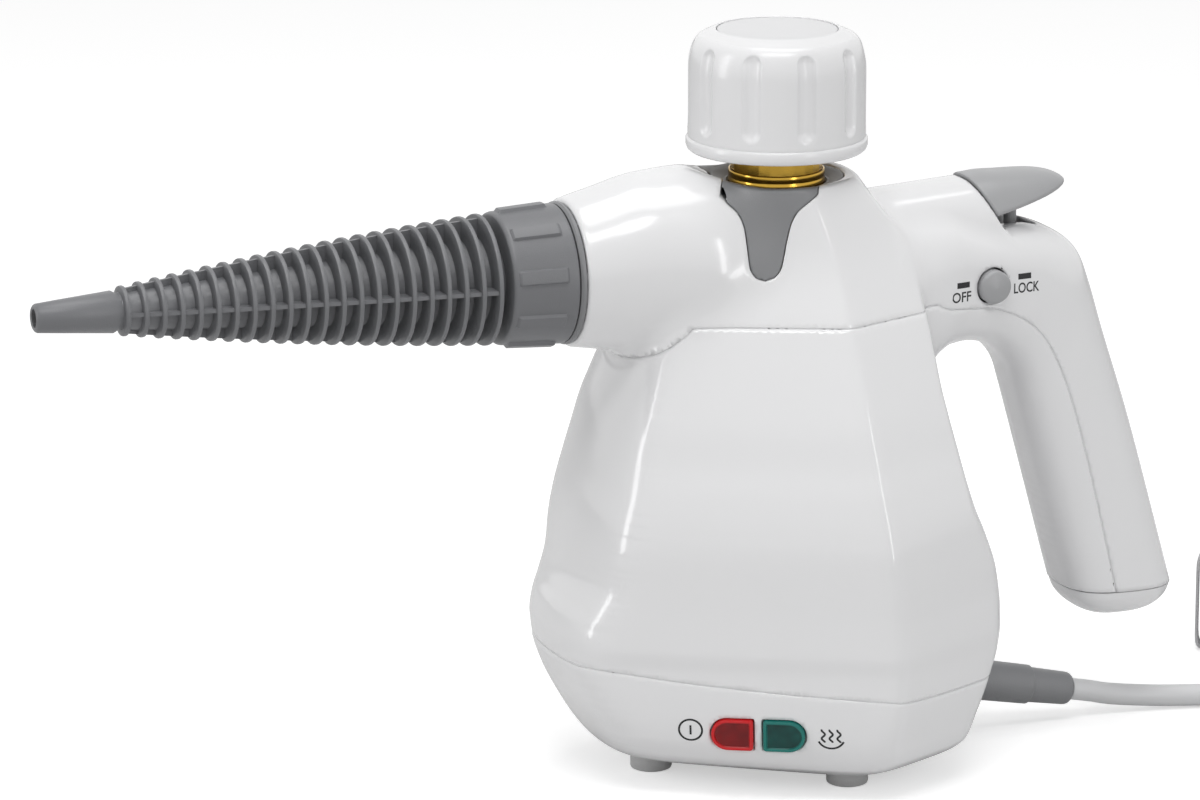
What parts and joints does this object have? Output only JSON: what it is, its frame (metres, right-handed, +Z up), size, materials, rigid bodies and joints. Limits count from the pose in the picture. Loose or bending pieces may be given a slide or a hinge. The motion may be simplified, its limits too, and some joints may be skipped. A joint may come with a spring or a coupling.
{
  "type": "steam cleaner",
  "caption": "Hand-held steam cleaner: a faceted boiler housing with a screw cap, a long ringed nozzle, a thumb trigger over a looped handle, and a coiled mains lead with a plug",
  "frame": {"origin": "middle of the footprint of the appliance without its lead, on the surface it stands on", "axes": "+Z up, nozzle towards -X, handle towards +X, lamps and lock marks on the -Y side"},
  "size_m": [0.5387, 0.1562, 0.2318],
  "materials": {
    "white_shell": "smooth glossy moulded white",
    "grey_plastic": "satin moulded mid grey",
    "light_grey_plastic": "satin moulded light grey",
    "cord_sheath": "soft satin pale sheath",
    "foot_pad": "matt off-white pad",
    "seal_rubber": "matt black seal",
    "tie_strap": "black hook-and-loop strap",
    "terminal_plastic": "matt black moulding",
    "brass": "turned and lightly polished",
    "aluminium": "cast and bead blasted",
    "steel": "bright drawn or pressed steel",
    "red_glass": "clear red moulding",
    "green_glass": "clear green moulding",
    "circuit_board": "green lacquered laminate"
  },
  "bodies": {
    "housing": {"base_shell": "white_shell", "body_shell": "white_shell", "top_cover": "white_shell", "handle_end_cap": "white_shell", "foot_front": "foot_pad", "foot_near": "foot_pad", "foot_far": "foot_pad", "foot_rear": "foot_pad", "neck_trim": "grey_plastic", "filler_neck": "brass", "boiler_pot": "aluminium", "boiler_lid": "aluminium", "boiler_gasket": "seal_rubber", "heating_element": "steel", "boiler_bracket": "steel", "bracket_screw_1": "steel", "bracket_screw_2": "steel", "bracket_screw_3": "steel", "bracket_screw_4": "steel", "thermostat": "steel", "thermal_fuse": "aluminium", "steam_valve_body": "brass", "inlet_pipe": "brass", "outlet_pipe": "brass", "outlet_fitting": "brass", "outlet_ring": "grey_plastic", "red_lens": "red_glass", "green_lens": "green_glass", "red_lamp": "red_glass", "green_lamp": "green_glass", "lamp_board": "circuit_board", "terminal_block": "terminal_plastic", "cord_clamp": "light_grey_plastic", "strain_relief": "light_grey_plastic", "trigger_pivot_pin": "steel", "plunger_spring": "steel", "cord_lead": "cord_sheath", "cord_coil": "cord_sheath", "cord_tail": "cord_sheath", "cord_tie": "tie_strap", "plug_body": "cord_sheath", "plug_blade_1": "brass", "plug_blade_2": "brass", "plug_earth_pin": "brass"},
    "nozzle_slide": {"nozzle_seal": "seal_rubber"},
    "nozzle": {"nozzle_cone": "grey_plastic", "nozzle_collar": "grey_plastic", "nozzle_jet": "brass"},
    "cap_lift": {"cap_gasket": "seal_rubber"},
    "cap_carrier": {"relief_valve": "brass", "relief_spring": "steel"},
    "cap": {"cap_shell": "white_shell", "cap_top_disc": "white_shell", "cap_sleeve": "brass"},
    "trigger": {"trigger_lever": "light_grey_plastic"},
    "plunger": {"steam_plunger": "light_grey_plastic"},
    "lock": {"lock_pin": "light_grey_plastic"}
  },
  "joints": [
    {"name": "nozzle_pull", "type": "slide", "parent": "housing", "child": "nozzle_slide", "axis": [-1, 0, 0], "range_m": [0, 0.03]},
    {"name": "nozzle_twist", "type": "hinge", "parent": "nozzle_slide", "child": "nozzle", "pos_m": [0, 0, 0.1608], "axis": [1, 0, 0], "range_deg": [0, 40]},
    {"name": "cap_lift_off", "type": "slide", "parent": "housing", "child": "cap_lift", "axis": [0, 0, 1], "range_m": [0, 0.04]},
    {"name": "cap_rise", "type": "slide", "parent": "cap_lift", "child": "cap_carrier", "axis": [0, 0, 1], "range_m": [0, 0.0092]},
    {"name": "cap_turn", "type": "hinge", "parent": "cap_carrier", "child": "cap", "pos_m": [0.05195, 0, 0.2023], "axis": [0, 0, 1], "range_deg": [0, 1080]},
    {"name": "trigger_press", "type": "hinge", "parent": "housing", "child": "trigger", "pos_m": [0.10795, 0, 0.1623], "axis": [0, 1, 0], "range_deg": [0, 7], "stiffness_Nm_per_rad": 1.6, "springref_deg": -8.02},
    {"name": "plunger_slide", "type": "slide", "parent": "housing", "child": "plunger", "axis": [0, 0, -1], "range_m": [0, 0.0029], "deforming": ["plunger_spring"]},
    {"name": "lock_push", "type": "slide", "parent": "housing", "child": "lock", "axis": [0, 1, 0], "range_m": [0, 0.004]}
  ],
  "couplings": [
    {"joint": "cap_rise", "follows": "cap_turn", "m_per_rad": 0.00047746},
    {"joint": "plunger_slide", "follows": "trigger_press", "m_per_rad": 0.023}
  ]
}
